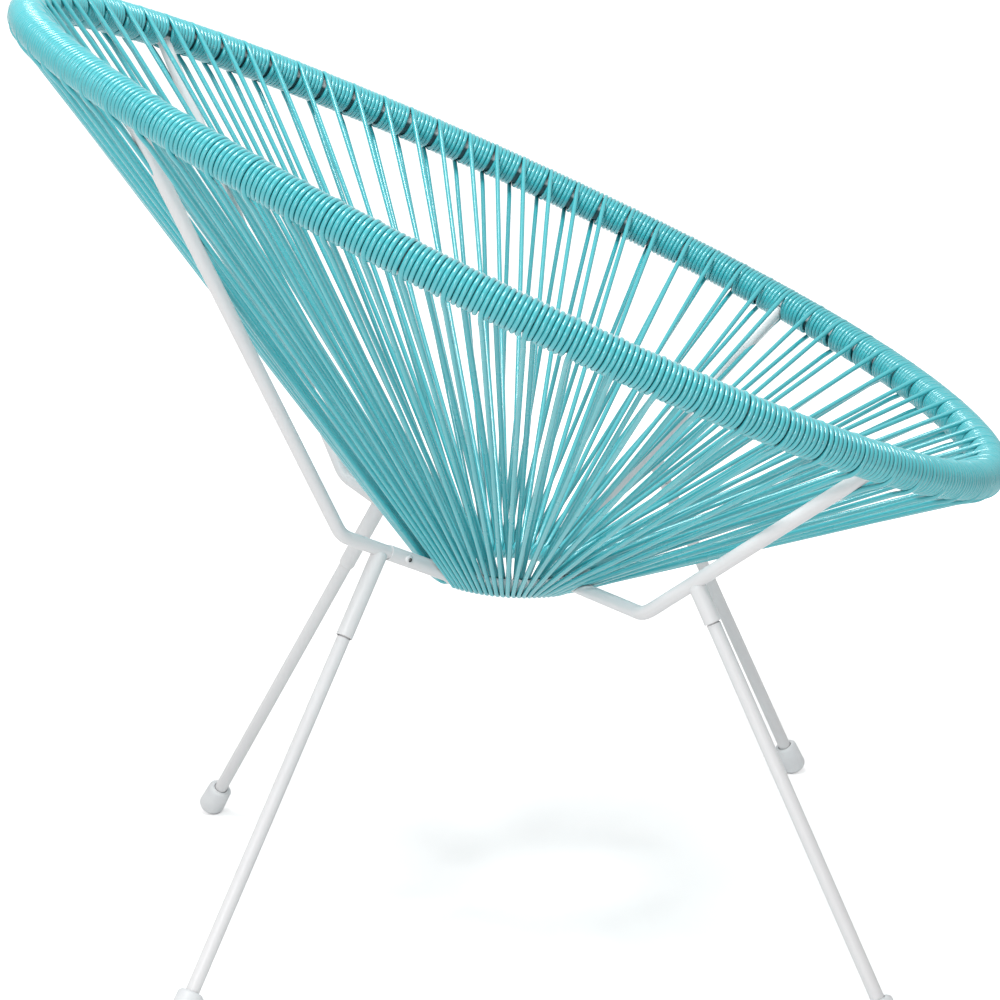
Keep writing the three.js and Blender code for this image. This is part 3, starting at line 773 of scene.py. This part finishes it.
for hand, side in HANDS.items():
    for end in LEGS:
        top, down, ground = leg_axis(end, side)
        lean = math.acos(-down[2])
        flat = FOOT_BASE / 2 - FOOT_EDGE
        drop = flat * math.sin(lean) + FOOT_EDGE * (1 - math.cos(lean))
        base = ground - down * (drop - FOOT_WEAR) / math.cos(lean)
        edge = [
            (flat + FOOT_EDGE * math.sin(step), FOOT_EDGE * (1 - math.cos(step)))
            for step in np.linspace(0, TURN / 4, FOOT_EDGE_POINTS)
        ]
        crown = [
            (FOOT_TOP / 2, FOOT_LENGTH - FOOT_CHAMFER),
            (FOOT_TOP / 2 - FOOT_CHAMFER, FOOT_LENGTH),
            (FOOT_BORE / 2, FOOT_LENGTH),
            (FOOT_BORE / 2, FOOT_LENGTH - FOOT_MOUTH),
        ]
        cap = lathe(
            f"{end}_cap_{hand}",
            base,
            -down,
            [(LATHE_TIP, 0), *edge, *rounded(crown, FOOT_SOFTNESS)],
            cap_plastic,
            [f"{end}_foot_{hand}"],
        )
        for vertex in cap.data.vertices:
            vertex.co.z = max(vertex.co.z, 0)


# Cord
# One long cord of turquoise PVC. It is wound round the rim, turn against turn, in groups. Between
# two groups it runs down to the ring from under the rim, rounds the ring's inner side, and comes
# back up to the top of the rim. Nothing but its own pull holds it.

CORD = 0.0042
CORD_SIDES = 10
WOUND = RIM_TUBE / 2 + CORD / 2
LOOPED = FRAME_TUBE / 2 + CORD / 2
CLEAR = 0.0003
STEPS_PER_TURN = 24
STEPS_OF_CLIMB = 8
STEPS_OF_DROP = 60
STEPS_ROUND_RING = 11
STEPS_OF_BEND = 9
BEND_PULL = 0.38

# How far a strand's end on the rim is lifted off the turns, and how far it is straight short of it
OVER_LIFT = 0.0014
UNDER_LIFT = 0.0006
OVER_LEAVES = 0.012
UNDER_LEAVES = 0.022
OVER_BLEND = math.radians(50)
UNDER_BLEND = math.radians(35)

# The work of a hand: strands a little bowed, turns that wander along the rim or lie loose on it,
# and the gaps left between groups
BOW = 0.0006
WANDER = 0.00012
WANDER_BEATS = (0.31, 0.83)
LOOSE = 0.0001
LOOSE_BEAT = 0.57
MOST_SLACK = 0.0007
hand_work = np.random.default_rng(11)

# Where turns give way to an arm, and how fast that fades along the rim and round it
GIVES_WAY = FRAME_TUBE / 2 + CORD / 2
FADES_ALONG = 0.007
FADES_ROUND = 4

# Strands of the front run that start behind a front arm's root, packed side by side
CROSSING = 2
PACKED = 1.05 * CORD / RING_RADIUS

# Turns counted in each group, a digit a group, in the order of winding: down the right side from
# the rear arm, across the front, up the left side, and across the back
RUNS = {
    "right": ((REAR_ARM, 1), (FRONT_ARM, 1), "88778788778777777787776"),
    "front": ((FRONT_ARM, 1), (FRONT_ARM, -1), "8787887878787887878787"),
    "left": ((FRONT_ARM, -1), (REAR_ARM, -1), "88888888887878798988"),
    "rear": ((REAR_ARM, -1), (REAR_ARM, 1), "8787887878787878"),
}


def upright(direction):
    return direction if direction[2] > 0 else -direction


def winding_point(distance, angle, lift=0.0):
    """On the winding, at a distance along the rim and an angle round it"""
    centre, _, outward = rim_station(distance)
    spoke = np.cos(angle)[..., None] * outward + np.sin(angle)[..., None] * RIM_NORMAL
    return centre + (WOUND + lift) * spoke


def eased(start, start_heading, end, end_heading):
    """A smooth bend of the cord from one point and heading to another"""
    reach = BEND_PULL * np.linalg.norm(end - start)
    share = np.linspace(0, 1, STEPS_OF_BEND + 2)[1:-1, None]
    return (
        (1 - share) ** 3 * start
        + 3 * share * (1 - share) ** 2 * (start + reach * start_heading)
        + 3 * share**2 * (1 - share) * (end - reach * end_heading)
        + share**3 * end
    )


def ring_section(ring_angle):
    """Directions across the ring's tube: to the ring's middle, and up"""
    inward = -ring_outward(ring_angle)
    return inward, upright(np.cross(ring_along(ring_angle), inward))


def strand(distance, ring_angle, side):
    """Ends on the rim's winding and on the ring of an upper strand (side 1) or a lower one (-1), its
    angles round both, and its heading from the ring to the rim"""
    centre, heading, outward = rim_station(distance)
    root = ring_point(ring_angle)
    pull = unit(centre - root)
    square = side * upright(unit(np.cross(pull, heading)))
    root_square = side * upright(unit(np.cross(ring_along(ring_angle), pull)))
    rim_turn = math.atan2(square.dot(RIM_NORMAL), square.dot(outward))
    inward, lifted = ring_section(ring_angle)
    ring_turn = math.atan2(root_square.dot(lifted), root_square.dot(inward))
    lift = OVER_LIFT if side > 0 else UNDER_LIFT
    rim_end = centre + (WOUND + lift) * square
    ring_end = root + LOOPED * root_square
    return rim_end, ring_end, rim_turn, ring_turn, unit(rim_end - ring_end)


def straight(start, end, steps):
    """A taut strand, a little bowed as it was left by hand"""
    share = np.linspace(0, 1, steps)[:, None]
    bow = hand_work.normal(0, BOW, 3)
    return start + (end - start) * share + bow * np.sin(math.pi * share)


def round_ring(low_angle, low_turn, over_angle, over_turn):
    """Round the inner half of the ring, from below it to above it"""
    points = []
    for share in np.linspace(0, 1, STEPS_ROUND_RING + 2)[1:-1]:
        angle = low_angle + (over_angle - low_angle) * share
        turn = low_turn + (over_turn - low_turn) * share
        inward, lifted = ring_section(angle)
        points.append(ring_point(angle) + LOOPED * (math.cos(turn) * inward + math.sin(turn) * lifted))
    return points


def beside_arm(arm, side, towards):
    """Angle on the ring that a lower strand keeps clear beside an arm, where the angle round the ring
    grows (towards 1) or falls (-1)"""
    root, corner, _ = arm_points(arm, side)
    angle = side * math.radians(arm["ring"])
    low = unit(corner - root)
    sweep = math.atan2(low.dot(ring_along(angle)), low.dot(ring_outward(angle))) * towards
    root_tube = FRAME_TUBE if arm is FRONT_ARM else STUB_TUBE
    room = root_tube / 2 + CORD / 2 + CLEAR
    return (room / math.cos(sweep) + LOOPED * math.tan(sweep)) / RING_RADIUS


def over_arms(points):
    """The same strand, bent over an arm that lies in its way"""
    for arm, root_tube in ((FRONT_ARM, FRAME_TUBE), (REAR_ARM, STUB_TUBE)):
        for side in (1, -1):
            root, corner, _ = arm_points(arm, side)
            run = unit(corner - root)
            along = np.clip((points - root) @ run, 0, np.linalg.norm(corner - root))
            away = points - root - along[:, None] * run
            distance = np.linalg.norm(away, axis=1)
            short = np.maximum(root_tube / 2 + CORD / 2 - distance, 0)
            points = points + away / distance[:, None] * short[:, None]
    return points


def arm_joint(arm, side):
    """Distance along the rim of an arm, and the angle round the rim at which it arrives"""
    angle = math.radians(arm["rim"]) * side
    distance = np.interp(angle, rim_angles, rim_lengths)
    _, corner, rim_end = arm_points(arm, side)
    _, _, outward = rim_station(distance)
    arrival = unit(corner - rim_end)
    return distance, math.atan2(arrival.dot(RIM_NORMAL), arrival.dot(outward))


arm_joints = [arm_joint(arm, side) for arm in (FRONT_ARM, REAR_ARM) for side in (1, -1)]


def parted(distance, angle):
    """Turns beside an arm are pushed along the rim, where the arm is in their way"""
    for joint, arrival in arm_joints:
        away = (distance - joint + RIM_LENGTH / 2) % RIM_LENGTH - RIM_LENGTH / 2
        near = np.exp(FADES_ROUND * (np.cos(angle - arrival) - 1))
        push = GIVES_WAY * near * np.exp(-np.abs(away) / FADES_ALONG)
        distance = distance + np.sign(away) * push
    return distance


# Its colour in crevices is painted shade: the dark lines between the turns and where strands touch
cord_plastic, cord_shader = coated(
    "cord_plastic",
    plain=(0.06, 0.485, 0.535),
    shaded=(0.045, 0.445, 0.5),
    crevice_shade_colour=(0.0, 0.06, 0.08),
    rough=(0.26, 0.36),
    peel=(1100, 0.03),
    clouds=(25, 0.6),
)
# The cord's skin came smooth from the die, and shows the lamps as bright lines
cord_shader.inputs["Coat Weight"].default_value = 0.75
cord_shader.inputs["Coat Roughness"].default_value = 0.07

for run, ((first, first_side), (last, last_side), counts) in RUNS.items():
    groups = [int(count) for count in counts]
    loops = len(groups)
    start, end = arm_joint(first, first_side)[0], arm_joint(last, last_side)[0]
    ring_start = first_side * math.radians(first["ring"])
    ring_end = last_side * math.radians(last["ring"])
    if run == "rear":
        end -= RIM_LENGTH
        ring_end -= TURN
    slack = hand_work.uniform(0, MOST_SLACK, loops) ** 2 / MOST_SLACK
    pitch = (start - end - slack.sum()) / sum(groups)

    # Places of the strands: on the ring the upper ones are evenly spread and the lower ones clear of
    # the arms, and on the rim each upper one starts a group
    low_start = ring_start - beside_arm(first, first_side, -1)
    low_end = ring_end + beside_arm(last, last_side, 1)
    if run == "front":
        behind = beside_arm(first, first_side, 1) + PACKED * np.arange(CROSSING)
        between = np.linspace(low_start, low_end, loops - 2 * CROSSING)
        under_rings = np.concatenate((ring_start + behind[::-1], between, ring_end - behind))
    else:
        low_start -= PACKED * CROSSING * (first is FRONT_ARM)
        low_end += PACKED * CROSSING * (last is FRONT_ARM)
        under_rings = np.linspace(low_start, low_end, loops)
    taken = np.concatenate(([0], np.cumsum(np.array(groups) * pitch + slack)))
    begins = start - pitch / 4 - taken
    over_rings = ring_start + (ring_end - ring_start) * np.arange(loops + 1) / loops
    overs = [strand(begin, angle, 1) for begin, angle in zip(begins, over_rings)]

    route = []
    for index, turns in enumerate(groups):
        stop = begins[index] - (turns - 1 / 2) * pitch
        rim_end, ring_top, angle, _, up = overs[index]
        low_rim, ring_low, low_angle, low_turn, low_up = strand(stop, under_rings[index], -1)
        low_angle -= TURN * (math.ceil((low_angle - angle) / TURN) + turns - 1)

        # The group of turns, without the ends, where the cord lifts off into its strands
        share = np.linspace(0, 1, round(turns * STEPS_PER_TURN))
        turned = angle + (low_angle - angle) * share
        wander = hand_work.uniform(0, TURN, 3)
        along = begins[index] + (stop - begins[index]) * share
        along += WANDER * sum(np.sin(beat * turned + late) for beat, late in zip(WANDER_BEATS, wander))
        settled = np.abs(turned - angle) > OVER_BLEND
        settled &= np.abs(turned - low_angle) > UNDER_BLEND
        turned, along = turned[settled], along[settled]
        loose = LOOSE * np.sin(LOOSE_BEAT * turned + wander[2])[:, None]
        helix = winding_point(parted(along, turned), turned, loose)

        # Up from the ring, on to the winding, off it again, down to the ring and round its inside
        climb = straight(ring_top, rim_end - OVER_LEAVES * up, STEPS_OF_CLIMB)
        drop = over_arms(straight(low_rim - UNDER_LEAVES * low_up, ring_low, STEPS_OF_DROP))
        onto = eased(climb[-1], up, helix[0], unit(helix[1] - helix[0]))
        off = eased(helix[-1], unit(helix[-1] - helix[-2]), drop[0], -low_up)
        back_up = round_ring(under_rings[index], low_turn, over_rings[index + 1], overs[index + 1][3])
        route += [*climb, *onto, *helix, *off, *drop, *back_up]
    route.append(overs[-1][1])
    nodes = [f"{kind}_{run}_{part}" for kind in ("rim_winding", "seat_cords") for part in (1, 2, 3)]
    nodes = [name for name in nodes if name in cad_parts]
    tube(f"cord_{run}", route, CORD / 2, CORD_SIDES, cord_plastic, nodes)
